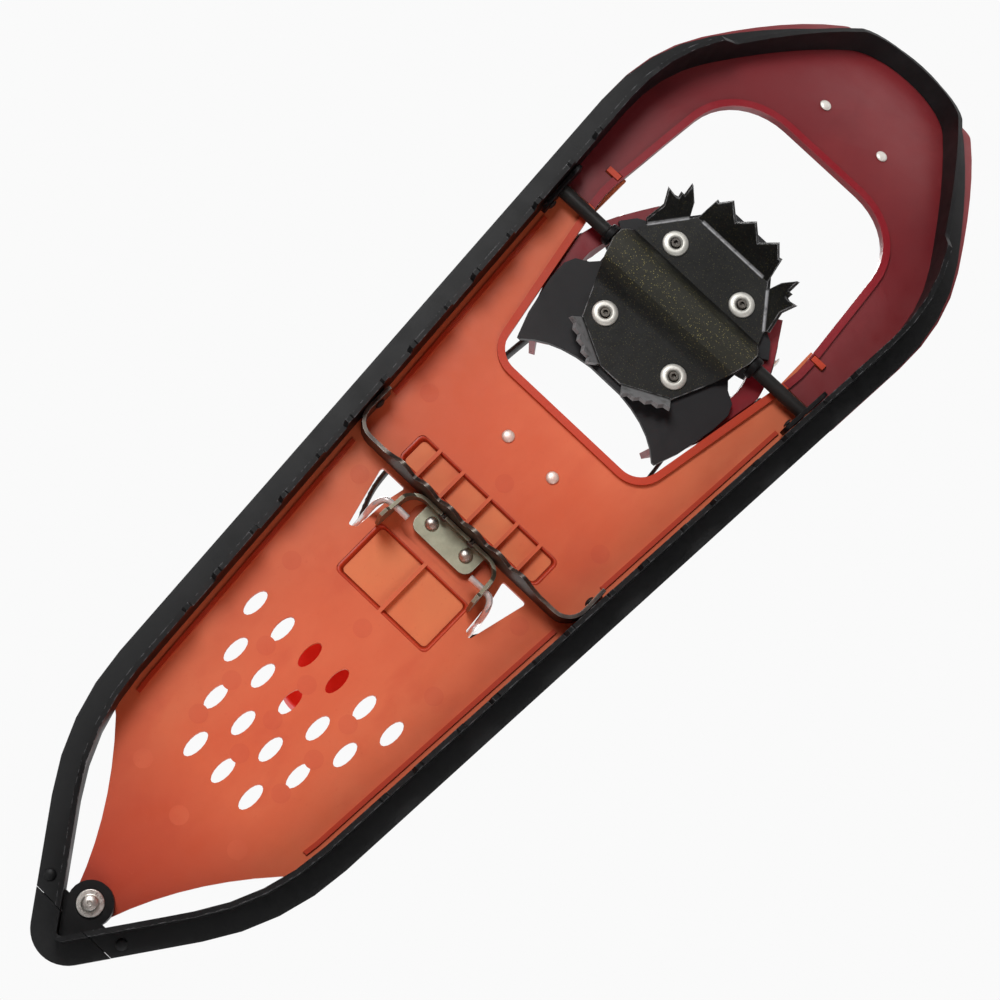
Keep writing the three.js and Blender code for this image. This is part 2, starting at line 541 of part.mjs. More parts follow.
// ---- toe crampon, bent from one sheet ----
// a flat tooth strip hinged on a bend line: points are (along the line, outwards), folded down by angle
function flap(points, from, to, angle) {
  const along = new THREE.Vector3(to[0] - from[0], to[1] - from[1], 0).normalize();
  const out = new THREE.Vector3(along.y, -along.x, 0);
  const down = out.clone().multiplyScalar(Math.cos(angle)).add(new THREE.Vector3(0, 0, -Math.sin(angle)));
  const normal = along.clone().cross(down);       // points to the underside
  const place = new THREE.Matrix4().makeBasis(along, down, normal);
  return extrude(toShape(points), PLATE_T).translate(0, 0, -PLATE_T).applyMatrix4(place)
    .translate(from[0], from[1], PLATE_Z);
}

const CRAMPON_SCREWS = [[22, -129.8], [22.6, -79.4]];

function buildToeCrampon() {
  const bump = PLATE_Z - (AXLE_Z - AXLE_R - GAP - PLATE_T);
  const under = [[-149.5, 0], [-121, 0], [-116.5, -bump * 0.75], [-113.5, -bump], [-106, -bump],
    [-99, -bump * 0.75], [-91, 0], [-57, 0]];
  const low = under.map(([y, z]) => [y, PLATE_Z + z]);
  const high = under.map(([y, z]) => [y, PLATE_Z + PLATE_T + z]).reverse();
  const sheet = sidePrism(toShape([...low, ...high]), -60, 60);
  const right = [[22.5, -149.2], [25.2, -145.4], [39.2, -126.6], [41.5, -120], [45, -114], [45, -108],
    [42.3, -99.6], [36.7, -87], [29.5, -70.5], [6.5, -58.6]];
  const plate = meet(sheet, prism(toShape(bothSides(right)), -10, 60));
  const front = flap(bothSides([[23.3, -0.8], [21.4, 14.3], [19.8, 13.8], [15, 20.2], [7.4, 12]])
    .toSpliced(5, 0, [0, 20.2]).map(([x, y]) => [x + 22.5, y]), [-22.5, -147.7], [22.5, -147.7], degrees(55));
  const wing = flap([[0.6, -0.8], [-1.6, 9], [-0.7, 19.4], [3.2, 13.4], [4.7, 15.4], [6.2, 12.6], [8, 14],
    [11.3, 19.4], [13.4, 9.5], [22, 2.5], [22, -0.8]].reverse(), [25.6, -145], [39.2, -126.6], degrees(55));
  const claw = flap([[0.5, -0.8], [0.5, 11], [3.5, 8.5], [6.5, 11.5], [9.5, 8.5], [12.5, 11.5], [15.5, 8.5],
    [18.5, 11.5], [21.5, 8], [24.5, 11.5], [25.2, -0.8]].reverse(), [29.3, -70.9], [6.5, -58.9], degrees(50));
  const holes = CRAMPON_SCREWS.flatMap(([x, y]) => [-1, 1].map((s) => rodAlongZ(2.6, 0, 40, s * x, y, 14)));
  const body = cut(join(plate, front, wing, mirrored(wing), claw, mirrored(claw)), ...holes);
  addMesh('toe_crampon', toGeometry(body), CRAMPON_COAT);
  for (const [row, [x, y]] of [['front', CRAMPON_SCREWS[0]], ['rear', CRAMPON_SCREWS[1]]]) {
    for (const [side, s] of [['left', -1], ['right', 1]]) {
      const cup = [[2.6, 0], [3.2, -1.6], [6.5, -0.5], [6.5, 0], [2.6, 0]].map((p) => new THREE.Vector2(...p));
      addMesh(`crampon_washer_${row}_${side}`, new THREE.LatheGeometry(cup, 24).rotateX(Math.PI / 2), STEEL)
        .position.set(s * x, y, PLATE_Z - GAP);
      const screw = [[0, -0.6], [1.3, -0.6], [1.3, -2.2], [2.2, -2.2], [2.2, 4.8], [0, 4.8]]
        .map((p) => new THREE.Vector2(...p));
      addMesh(`crampon_screw_${row}_${side}`, new THREE.LatheGeometry(screw, 12).rotateX(Math.PI / 2), STEEL)
        .position.set(s * x, y, PLATE_Z - GAP);
    }
  }
}

// ---- footplate and cradle ----
const TREAD = { width: 60, length: 64, rise: 1, y: -94 };    // raised panel that the boot sole stands on

function buildFootplate() {
  const right = [[14, -163.4], [18.5, -162], [22.5, -152], [27, -146], [37, -131], [44.5, -127], [50, -119.5],
    [46, -117], [43.6, -112],
    [42.5, -98], [46, -94], [52, -90.5], [54.4, -85], [53.8, -74], [49.6, -54], [45.2, -41.8], [43.4, -41.8]];
  const arch = new THREE.QuadraticBezierCurve(new THREE.Vector2(43.4, -41.8), new THREE.Vector2(30, -56),
    new THREE.Vector2(0, -56.4)).getPoints(6).slice(1, -1).map((p) => [p.x, p.y]);
  const plate = prism(toShape(bothSides([...right, ...arch])), FOOT_Z, FOOT_Z + FOOT_T);
  const holes = CRAMPON_SCREWS.flatMap(([x, y]) => [-1, 1]
    .map((s) => rodAlongZ(2.6, 0, FOOT_Z + 2.6, s * x, y, 14)));
  const tread = new THREE.BoxGeometry(TREAD.width, TREAD.length, 2 * TREAD.rise)
    .translate(0, TREAD.y, FOOT_Z + FOOT_T);
  const grooves = [-142, -136, -88, -82, -76].map((y) => new THREE.BoxGeometry(46, 2.4, 4)
    .translate(0, y, FOOT_Z + FOOT_T + 1));
  addMesh('footplate', toGeometry(cut(join(plate, tread), ...holes, ...grooves)), MOULDED_BLACK);
}

const LEAN = 0.14;                               // cradle walls tip inwards towards the top
const WALL_T = 3;
const WALL_LINE = [[40, -140], [46, -130], [53, -117], [57.2, -104], [57.4, -92], [52.5, -68], [39, -46]];
const LIP_LINE = [[36.5, -137], [42.2, -128], [49, -115.5], [53, -103], [53.2, -92], [48.8, -69], [36.5, -49]];
const LIP_W = 8;
const LIP_T = 4;
const WALL_TOP = [[-160, 20], [-30, 20], [-30, 36], [-50, 42], [-64, 45], [-69, 60], [-73, 63], [-80, 63],
  [-85, 57], [-100, 52], [-108, 52], [-120, 44], [-140, 40], [-160, 32]];
const HEEL_PIVOT = [-76, 56];
const STRAP_RIVET_Z = 38;

function lean(geometry) {
  return geometry.applyMatrix4(new THREE.Matrix4()
    .set(1, 0, -LEAN, LEAN * CRADLE_Z, 0, 1, 0, 0, 0, 0, 1, 0, 0, 0, 0, 1));
}

function ribbon(points, thickness, divisions) {   // a strip of even thickness along a smooth plan line
  const curve = new THREE.SplineCurve(points.map((p) => new THREE.Vector2(...p)));
  const outer = [];
  const inner = [];
  for (let k = 0; k <= divisions; k++) {
    const p = curve.getPoint(k / divisions);
    const t = curve.getTangent(k / divisions);
    outer.push(new THREE.Vector2(p.x + t.y * thickness / 2, p.y - t.x * thickness / 2));
    inner.push(new THREE.Vector2(p.x - t.y * thickness / 2, p.y + t.x * thickness / 2));
  }
  return toShape([...outer, ...inner.reverse()]);
}

function buildCradles() {
  const wall = meet(prism(ribbon(WALL_LINE, WALL_T, 14), CRADLE_Z, 70), sidePrism(toShape(WALL_TOP), 0, 90));
  const lip = prism(ribbon(LIP_LINE, LIP_W, 14), CRADLE_Z, CRADLE_Z + LIP_T);
  const deckSpace = cut(prism(outline(OUTER), 0, DECK_TOP + GAP), prism(outline(offset(WINDOW, -1)), -1, 60));
  const leaning = toGeometry(cut(join(wall, lip), deckSpace));
  const holes = [[HEEL_PIVOT[0], HEEL_PIVOT[1]], ...STRAPS.map(({ y }) => [y, STRAP_RIVET_Z])]
    .map(([y, z]) => rodAlongX(1.9, 20, 90, y, z, 10));
  const right = toGeometry(cut(lean(leaning), ...holes));
  addMesh('cradle_right', right, CRIMSON);
  addMesh('cradle_left', mirrored(right), CRIMSON);
}

// ---- straps over the foot ----
const STRAP_T = 2.2;
const STRAP_FOOT_Z = 31;
const STRAPS = [
  { name: 'toe', y: -127, length: 20, wide: 0.83, high: 0.78, taper: 0.0112, foot: 49.4 },
  { name: 'instep', y: -96, length: 24, wide: 1, high: 1, taper: 0, foot: 58.9 },
];

function archCurve(wide, high) {                  // inner line of a strap, right foot to left foot
  const half = [[59.6, 31], [57.2, 44], [54.6, 57], [47, 69], [33, 77.5], [16, 81.5]];
  return new THREE.SplineCurve([...half, [0, 82.5], ...mirrorX(half).reverse()]
    .map(([x, z]) => new THREE.Vector2(x * wide, STRAP_FOOT_Z + (z - STRAP_FOOT_Z) * high)));
}

function archShape(curve) {
  const count = 22;
  const inner = Array.from({ length: count + 1 }, (_, k) => curve.getPointAt(k / count));
  const outer = inner.map((p, k) => {
    const t = curve.getTangentAt(k / count);
    return new THREE.Vector2(p.x + t.y * STRAP_T, p.y - t.x * STRAP_T);
  });
  return toShape([...inner, ...outer.reverse()]);
}

const SEAT_REACH = 30;                           // how far a seated piece reaches from the strap's middle

// a group that sits on the strap, its x down the strap and its z away from the foot
function seatOnStrap(curve, at, y, taper) {
  const seat = new THREE.Group();
  const p = curve.getPointAt(at);
  const t = curve.getTangentAt(at);
  const stand = STRAP_T + GAP + SEAT_REACH * taper;   // a tapered strap bulges a little under a flat piece
  seat.position.set(p.x + t.y * stand, y, p.y - t.x * stand);
  seat.rotation.y = Math.atan2(t.y, -t.x);
  seat.rotateX(Math.atan(taper * p.x * t.y));
  part.add(seat);
  return seat;
}

function addTo(group, name, geometry, finish) {
  const mesh = addMesh(name, geometry, finish);
  group.add(mesh);
  return mesh;
}

const block = (x0, x1, y0, y1, radius) => outline([[x0, y0, radius], [x1, y0, radius], [x1, y1, radius],
  [x0, y1, radius]], Math.PI / 6);

const BUCKLE = { length: 24, width: 29, floor: 1.5, cheek: 8, inside: 20.4, pinX: 6, pinZ: 4.6, pinR: 2 };

function buildBuckle(seat) {
  const { length, width, floor, cheek, inside, pinX, pinZ, pinR } = BUCKLE;
  const body = cut(prism(block(-length / 2, length / 2, -width / 2, width / 2, 3), 0, cheek),
    new THREE.BoxGeometry(length + 4, inside, 20).translate(0, 0, 10 + floor),
    sidePrism(toShape([[-30, 5.5], [30, 5.5], [30, 20], [-30, 20]]), -20, -3));
  addTo(seat, 'buckle_frame', toGeometry(body), MOULDED_BLACK);
  const half = inside / 2 - 2 * GAP;
  const lever = join(prism(block(-13.5, pinX + 1, -half + 1, half - 1, 2), pinZ - 1.2, pinZ + 1.4),
    new THREE.CylinderGeometry(pinR, pinR, 2 * half, 12).translate(pinX, 0, pinZ));
  addTo(seat, 'buckle_lever', toGeometry(lever), CRIMSON);
}

function buildSlider(seat) {
  const body = cut(prism(block(-9, 9, -14.5, 14.5, 3), 0, 2.6),
    prism(block(-6, -2, -11.5, 11.5, 1), -1, 4), prism(block(2, 6, -11.5, 11.5, 1), -1, 4));
  addTo(seat, 'toe_slider', toGeometry(body), MOULDED_BLACK);
}

function buildStraps() {
  for (const { name, y, length, wide, high, taper, foot } of STRAPS) {
    const curve = archCurve(wide, high);
    const strap = frontPrism(archShape(curve), y - length / 2, y + length / 2);
    const position = strap.attributes.position;
    for (let i = 0; i < position.count; i++) {
      position.setX(i, position.getX(i) * (1 + taper * (position.getY(i) - y)));
    }
    const hole = rodAlongX(1.9, -90, 90, y, STRAP_RIVET_Z, 10);
    addMesh(`${name}_strap`, toGeometry(cut(strap, hole)), WEBBING);
    for (const [side, s] of [['left', -1], ['right', 1]]) {
      fastener(`${name}_strap_rivet_${side}`, s * (foot + 2.9), y, STRAP_RIVET_Z,
        { head: 3.4, height: 1.4, shank: 1.5, length: 6.5, finish: STEEL, count: 12 })
        .rotation.y = -s * Math.PI / 2;
    }
    const seat = seatOnStrap(curve, name === 'toe' ? 0.3 : 0.24, y, taper);
    if (name === 'toe') buildSlider(seat); else buildBuckle(seat);
  }
}

// ---- heel strap and pad ----
const HEEL_LINE = [[44.2, -85], [44.2, -66], [46.8, -40], [49, 0], [48.6, 44], [43.5, 64], [36, 77], [28.5, 88],
  [23.8, 98], [21.5, 108], [20.8, 116]];
const HEEL_STRAP_SIDE = [[-90, 49], [-66, 49], [-30, LOOP_Z], [40, LOOP_Z + 4], [130, LOOP_Z + 4],
  [130, LOOP_Z + 14], [100, LOOP_Z + 15], [60, LOOP_Z + 17], [-30, LOOP_Z + 16], [-66, 63], [-90, 63]];
const HEEL_STRAP_T = 2.4;
const PAD_RIVET = [107, 59.5];
const PAD_Z = 42;
const PAD_H = 24;

function buildHeelLoop() {
  const strap = meet(prism(ribbon(HEEL_LINE, HEEL_STRAP_T, 26), LOOP_Z - 5, LOOP_Z + LOOP_H + 2),
    sidePrism(toShape(HEEL_STRAP_SIDE), 0, 90));
  const pivotHole = rodAlongX(1.9, 0, 90, ...HEEL_PIVOT, 12);
  const padHole = rodAlongX(1.9, -60, 60, ...PAD_RIVET, 10);
  const right = toGeometry(cut(strap, pivotHole, padHole));
  addMesh('heel_strap_right', right, WEBBING);
  addMesh('heel_strap_left', mirrored(right), WEBBING);
  const outside = [[21.6, 98, 0], [19.4, 110, 6], [18.6, 136, 14], [8.5, 158.6, 9]];
  const inside = [[18.6, 90, 0], [16.4, 110, 6], [15.6, 134, 11], [7, 154, 6]];
  const pad = outline(bothSides(outside), Math.PI / 12);
  const hollow = outline(bothSides(inside), Math.PI / 12);
  const body = cut(prism(pad, PAD_Z, PAD_Z + PAD_H), prism(hollow, PAD_Z + 3, PAD_Z + PAD_H + 2), padHole);
  addMesh('heel_pad', toGeometry(body), RED);
  for (const [side, s] of [['left', -1], ['right', 1]]) {
    fastener(`heel_pivot_${side}`, s * 52.9, ...HEEL_PIVOT,
      { head: 4, height: 1.6, shank: 1.55, length: 10, finish: STEEL, count: 12 }).rotation.y = -s * Math.PI / 2;
    fastener(`heel_pad_rivet_${side}`, s * 23.7, ...PAD_RIVET,
      { head: 3.2, height: 1.3, shank: 1.3, length: 8, finish: STEEL, count: 12 }).rotation.y = -s * Math.PI / 2;
  }
}

buildFrame();
buildTailCap();
buildToeDeck();
buildRearDeck();
buildAxle();
buildCrossbar();
buildHeelCrampon();
buildLifter();
buildToeCrampon();
buildFootplate();
buildCradles();
buildStraps();
buildHeelLoop();

export default part;
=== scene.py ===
import math

import bmesh
import bpy
from mathutils import Matrix, Vector


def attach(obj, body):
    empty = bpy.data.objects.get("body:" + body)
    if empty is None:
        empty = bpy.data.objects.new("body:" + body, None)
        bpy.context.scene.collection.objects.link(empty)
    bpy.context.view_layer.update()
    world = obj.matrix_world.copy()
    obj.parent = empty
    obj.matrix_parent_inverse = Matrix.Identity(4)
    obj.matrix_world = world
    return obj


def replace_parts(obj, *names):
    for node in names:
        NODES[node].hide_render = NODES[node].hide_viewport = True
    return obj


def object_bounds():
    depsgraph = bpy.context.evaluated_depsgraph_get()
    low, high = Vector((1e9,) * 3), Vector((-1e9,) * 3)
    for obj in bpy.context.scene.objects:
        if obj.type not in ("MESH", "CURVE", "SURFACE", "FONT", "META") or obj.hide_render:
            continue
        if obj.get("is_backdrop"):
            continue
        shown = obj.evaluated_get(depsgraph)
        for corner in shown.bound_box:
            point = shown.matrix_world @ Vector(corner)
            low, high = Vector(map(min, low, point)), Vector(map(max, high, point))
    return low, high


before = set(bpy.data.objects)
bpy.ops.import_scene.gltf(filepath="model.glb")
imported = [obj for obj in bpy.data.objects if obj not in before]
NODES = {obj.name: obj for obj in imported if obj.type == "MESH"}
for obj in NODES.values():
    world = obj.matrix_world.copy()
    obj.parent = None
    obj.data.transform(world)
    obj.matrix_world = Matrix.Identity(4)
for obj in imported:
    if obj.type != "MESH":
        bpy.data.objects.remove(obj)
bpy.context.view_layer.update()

SHIFT_Y = -2.7        # drawing position to row position, in mm
MM = 0.001


def at(x, y, z):
    """A point drawn in mm, toe towards -Y, as a row position in metres."""
    return Vector((x * MM, (y + SHIFT_Y) * MM, z * MM))


# ---------------------------------------------------------------- materials
class Shader:
    """A material's node tree, built by calls that return sockets."""

    def __init__(self, name):
        self.material = bpy.data.materials.new(name)
        self.material.use_nodes = True
        self.tree = self.material.node_tree
        self.tree.nodes.clear()
        self.output = self.tree.nodes.new("ShaderNodeOutputMaterial")
        coords = self.tree.nodes.new("ShaderNodeTexCoord")
        self.place = coords.outputs["Object"]

    def put(self, socket, value):
        if isinstance(value, bpy.types.NodeSocket):
            self.tree.links.new(value, socket)
        elif isinstance(value, (tuple, list)) and len(value) == 3 and len(socket.default_value) == 4:
            socket.default_value = (*value, 1)
        else:
            socket.default_value = value

    def node(self, kind, inputs=None, **settings):
        made = self.tree.nodes.new(kind)
        for key, value in settings.items():
            setattr(made, key, value)
        for key, value in (inputs or {}).items():
            self.put(made.inputs[key], value)
        return made

    def math(self, operation, a, b=0.0, clamp=False):
        made = self.node("ShaderNodeMath", operation=operation, use_clamp=clamp)
        self.put(made.inputs[0], a)
        self.put(made.inputs[1], b)
        return made.outputs[0]

    def split(self):
        made = self.node("ShaderNodeSeparateXYZ", {"Vector": self.place})
        return made.outputs["X"], made.outputs["Y"], made.outputs["Z"]

    def noise(self, scale, detail=3.0, rough=0.55, stretch=None):
        vector = self.place
        if stretch:
            vector = self.node("ShaderNodeMapping", {"Vector": self.place, "Scale": stretch}).outputs[0]
        return self.node("ShaderNodeTexNoise", {"Vector": vector, "Scale": scale, "Detail": detail,
                                                "Roughness": rough}).outputs["Fac"]

    def ramp(self, value, low, high, to_low=0.0, to_high=1.0):
        made = self.node("ShaderNodeMapRange", {"Value": value, "From Min": low, "From Max": high,
                                                "To Min": to_low, "To Max": to_high}, clamp=True)
        return made.outputs[0]

    def mix(self, factor, a, b):
        made = self.node("ShaderNodeMix", data_type="RGBA")
        self.put(made.inputs[0], factor)
        self.put(made.inputs[6], a)
        self.put(made.inputs[7], b)
        return made.outputs[2]

    def edges(self, radius, low, high):
        """1 on edges and 0 on flat faces, from how far a rounded normal leans from the true one."""
        soft = self.node("ShaderNodeBevel", {"Radius": radius}, samples=4).outputs[0]
        true = self.node("ShaderNodeNewGeometry").outputs["Normal"]
        dot = self.node("ShaderNodeVectorMath", operation="DOT_PRODUCT")
        self.put(dot.inputs[0], soft)
        self.put(dot.inputs[1], true)
        return self.ramp(dot.outputs["Value"], high, low)

    def bump(self, height, strength, distance, normal=None):
        inputs = {"Height": height, "Strength": strength, "Distance": distance}
        if normal is not None:
            inputs["Normal"] = normal
        return self.node("ShaderNodeBump", inputs).outputs[0]

    def finish(self, colour, rough, normal=None, metal=0.0, coat=0.0, specular=0.5):
        inputs = {"Base Color": colour, "Roughness": rough, "Metallic": metal, "Specular IOR Level": specular,
                  "Coat Weight": coat, "Coat Roughness": 0.25}
        if normal is not None:
            inputs["Normal"] = normal
        surface = self.node("ShaderNodeBsdfPrincipled", inputs)
        self.put(self.output.inputs["Surface"], surface.outputs[0])
        return self.material


def srgb(r, g, b):
    return tuple(((c / 255 + 0.055) / 1.055) ** 2.4 if c > 10 else c / 255 / 12.92 for c in (r, g, b))


def powder_coat(name, dark, light, wear):
    s = Shader(name)
    _, _, z = s.split()
    cloud = s.noise(28, 4)
    grain = s.noise(1900, 2)
    colour = s.mix(s.ramp(cloud, 0.35, 0.68), dark, light)
    worn = s.math("MULTIPLY", s.edges(0.0009, 0.86, 0.985), s.ramp(s.noise(330, 4), 0.5, 0.62))
    worn = s.math("MULTIPLY", worn, s.ramp(z, 0.0125, 0.004, 0.10, 1.0))
    colour = s.mix(s.math("MULTIPLY", worn, wear), colour, srgb(112, 112, 114))
    rough = s.ramp(s.noise(60, 5), 0.3, 0.7, 0.38, 0.54)
    return s.finish(colour, rough, s.bump(grain, 0.22, 0.00012), specular=0.22)


BENDS = (((-20, -147.7), (20, -147.7)), ((26, -144.4), (38.6,
                                                        -127.4)))   # bend lines with a painted highlight, the second on both sides


def bend_highlight(s):
    """1 along the bend lines of the toe crampon, where a highlight is painted on the bent edges."""
    x, y, z = s.split()
    side = s.math("ABSOLUTE", x)
    level = s.math("SUBTRACT", y, SHIFT_Y * MM)
    total = None
    for (x0, y0), (x1, y1) in BENDS:
        start, end = Vector((x0, y0)) * MM, Vector((x1, y1)) * MM
        along = (end - start).normalized()
        out = Vector((along.y, -along.x))
        away = s.math("ADD", s.math("MULTIPLY", side, out.x), s.math("MULTIPLY", level, out.y))
        away = s.math("ABSOLUTE", s.math("SUBTRACT", away, start.dot(out)))
        run = s.math("ADD", s.math("MULTIPLY", side, along.x), s.math("MULTIPLY", level, along.y))
        inside = s.ramp(run, end.dot(along) + 0.0004, end.dot(along) - 0.0004)
        inside = s.math("MULTIPLY", inside, s.ramp(run, start.dot(along) - 0.0004, start.dot(along) + 0.0004))
        line = s.math("MULTIPLY", inside, s.ramp(away, 0.0009, 0.0003))
        total = line if total is None else s.math("MAXIMUM", total, line)
    total = s.math("MULTIPLY", total, s.ramp(z, 0.0182, 0.0176))
    return s.math("MULTIPLY", total, s.ramp(s.noise(420, 4), 0.28, 0.5, 0.35, 1.0))


def speckled_coat(name):
    s = Shader(name)
    _, y, z = s.split()
    cell = s.node("ShaderNodeTexVoronoi", {"Vector": s.place, "Scale": 1250.0, "Randomness": 1.0})
    dot = s.ramp(cell.outputs["Distance"], 0.34, 0.12)
    pick = s.ramp(s.node("ShaderNodeSeparateColor", {"Color": cell.outputs["Color"]}).outputs[0], 0.45, 0.75)
    # painted sheen: the crampon's low ridge is made lighter and olive, with more gold flecks showing
    ridge_sheen = s.math("MULTIPLY", s.ramp(z, 0.0152, 0.0105), s.ramp(y, -0.131, -0.118))
    ridge_sheen = s.math("MULTIPLY", ridge_sheen, s.ramp(y, -0.088, -0.097))
    streak = s.ramp(s.noise(75, 4, 0.6, (0.35, 2.6, 1.0)), 0.38, 0.66)
    amount = s.math("ADD", s.math("MULTIPLY", ridge_sheen, streak), 0.16)
    gold = s.math("MULTIPLY", s.math("MULTIPLY", dot, pick), amount, True)
    colour = s.mix(s.ramp(s.noise(40, 4), 0.35, 0.7), srgb(15, 15, 14), srgb(26, 26, 24))
    colour = s.mix(s.math("MULTIPLY", ridge_sheen, 0.55), colour, srgb(58, 57, 46))
    colour = s.mix(gold, colour, srgb(176, 164, 98))
    worn = s.math("MULTIPLY", s.edges(0.0010, 0.82, 0.98), s.ramp(s.noise(260, 4), 0.34, 0.55))
    x, _, _ = s.split()
    middle = s.math("MULTIPLY", s.ramp(y, -0.131, -0.129), s.ramp(y, -0.088, -0.090))
    middle = s.math("MULTIPLY", middle, s.ramp(s.math("ABSOLUTE", x), 0.0425, 0.0410))
    worn = s.math("MULTIPLY", worn, s.math("SUBTRACT", 0.85, s.math("MULTIPLY", middle, 0.85)))
    # the bend lines add their painted highlight to the rubbed edges; both take the pale grey
    worn = s.math("MAXIMUM", worn, bend_highlight(s))
    colour = s.mix(worn, colour, srgb(168, 168, 170))
    # painted highlight: grey on the face of the bent-down rear flange
    rear_flange_highlight = s.math("MULTIPLY", s.ramp(y, -0.0765, -0.0735), s.ramp(z, 0.0166, 0.0152))
    rear_flange_highlight = s.math("MULTIPLY", rear_flange_highlight, s.ramp(s.noise(190, 4), 0.3, 0.5, 0.45, 0.95))
    colour = s.mix(rear_flange_highlight, colour, srgb(126, 127, 128))
    height = s.math("ADD", s.noise(1400, 3), s.math("MULTIPLY", dot, 0.4))
    rough = s.ramp(s.noise(320, 3), 0.3, 0.7, 0.46, 0.64)
    return s.finish(colour, rough, s.bump(height, 0.5, 0.0002), specular=0.28)


def moulded(name, base, second, third, lip, gloss=0.42, lip_z=None, curled=False, tail=None, specular=0.45,
            pocket=None):
    """Moulded plastic with flow marks; faces below lip_z take the deeper lip colour."""
    s = Shader(name)
    _, y, z = s.split()
    flow = s.noise(13, 5, 0.6, (1.0, 0.55, 1.0))
    patch = s.noise(34, 4, 0.5, (1.2, 0.8, 1.0))
    colour = s.mix(s.ramp(flow, 0.42, 0.66), base, second)
    colour = s.mix(s.ramp(patch, 0.56, 0.74, 0.0, 0.6), colour, third)
    if tail is not None:
        reach = s.math("MULTIPLY", s.ramp(y, 0.205, 0.275), s.ramp(flow, 0.3, 0.6, 0.65, 1.0))
        colour = s.mix(reach, colour, tail)
    if pocket is not None:
        deep = s.math("MULTIPLY", s.ramp(z, 0.0250, 0.0255), s.ramp(patch, 0.3, 0.6, 0.4, 0.9))
        colour = s.mix(deep, colour, pocket)
    if lip_z is not None:
        level = z
        if curled:
            past = s.math("MAXIMUM", s.math("SUBTRACT", -0.17215, y), 0.0)
            level = s.math("SUBTRACT", z, s.math("DIVIDE", s.math("MULTIPLY", past, past), 0.41))
        colour = s.mix(s.ramp(level, lip_z + 0.0003, lip_z - 0.0002), colour, lip)
    fleck = s.ramp(s.noise(520, 2), 0.66, 0.74, 0.0, 0.25)
    colour = s.mix(fleck, colour, third)
    rough = s.ramp(s.noise(90, 5), 0.3, 0.7, gloss - 0.07, gloss + 0.09)
    normal = s.bump(s.noise(1500, 2), 0.12, 0.0001)
    normal = s.bump(s.noise(22, 3), 0.10, 0.002, normal)
    return s.finish(colour, rough, normal, specular=specular)


def plated(name, base, second, rough_low, rough_high, stretch=(1, 1, 1), grain=900, edge=None, metal=1.0):
    s = Shader(name)
    stain = s.noise(90, 5, 0.6)
    colour = s.mix(s.ramp(stain, 0.38, 0.66), base, second)
    if edge is not None:
        worn = s.math("MULTIPLY", s.edges(0.0007, 0.85, 0.985), s.ramp(s.noise(210, 4), 0.35, 0.6))
        colour = s.mix(worn, colour, edge)
    brushed = s.noise(grain, 3, 0.6, stretch)
    rough = s.ramp(brushed, 0.3, 0.7, rough_low, rough_high)
    return s.finish(colour, rough, s.bump(brushed, 0.15, 0.00008), metal=metal)


def strap_plastic(name):
    s = Shader(name)
    colour = s.mix(s.ramp(s.noise(45, 4), 0.35, 0.7), srgb(22, 22, 23), srgb(36, 36, 37))
    dust = s.ramp(s.noise(700, 3), 0.62, 0.78, 0.0, 0.35)
    colour = s.mix(dust, colour, srgb(92, 90, 88))
    rough = s.ramp(s.noise(140, 4), 0.3, 0.7, 0.5, 0.68)
    return s.finish(colour, rough, s.bump(s.noise(2400, 2), 0.3, 0.0001), specular=0.4)


BLACK_COAT = powder_coat("black_coat", srgb(12, 12, 13), srgb(19, 19, 20), 0.85)
ROD_COAT = powder_coat("rod_coat", srgb(30, 30, 30), srgb(42, 42, 40), 0.2)
CRAMPON = speckled_coat("crampon_coat")
MAROON = moulded("maroon_plastic", srgb(107, 29, 34), srgb(117, 36, 39), srgb(95, 20, 26), srgb(126, 16, 28),
                 0.42, 0.0212, True, specular=0.35)
# orange deck: the deeper red (180, 56, 26) on its faces below lip_z is painted shade on the deck's lips
ORANGE = moulded("orange_plastic", srgb(199, 94, 57), srgb(207, 110, 72), srgb(192, 86, 54),
                 srgb(180, 56, 26),
                 0.46, 0.0212, False, srgb(164, 43, 20), 0.35, srgb(214, 128, 80))
CRIMSON = moulded("crimson_plastic", srgb(112, 18, 28), srgb(124, 22, 32), srgb(96, 12, 22), None, 0.34,
                  specular=0.4)
DARK = moulded("dark_plastic", srgb(25, 25, 27), srgb(31, 31, 33), srgb(20, 20, 22), None, 0.46,
               specular=0.25)
BLACK = moulded("black_plastic", srgb(13, 13, 14), srgb(18, 18, 19), srgb(11, 11, 12), None, 0.46,
                specular=0.2)
RED = moulded("red_rubber", srgb(224, 32, 26), srgb(232, 46, 36), srgb(204, 22, 20), None, 0.46)
# pocket lip colour: a deeper red-orange than the deck, painted shade on the sloped pocket walls
LIP_SHADE = moulded("pocket_lip", srgb(182, 58, 28), srgb(190, 66, 34), srgb(172, 50, 24), None, 0.44, specular=0.4)
ZINC = plated("zinc_plate", srgb(158, 160, 141), srgb(136, 138, 121), 0.40, 0.56, (1, 1, 6), 700,
              srgb(196, 194, 184))
ZINC_DARK = plated("zinc_dark", srgb(104, 99, 92), srgb(74, 70, 68), 0.36, 0.56, (1, 1, 6), 700,
                   srgb(170, 166, 160))
STEEL = plated("bright_steel", srgb(226, 224, 218), srgb(204, 202, 196), 0.24, 0.38)
SILVER = plated("white_silver", srgb(236, 234, 226), srgb(220, 218, 210), 0.42, 0.55, metal=0.65)
CHROME = plated("chrome_wire", srgb(250, 250, 250), srgb(240, 240, 240), 0.14, 0.22, metal=0.6)
STRAP = strap_plastic("strap_plastic")


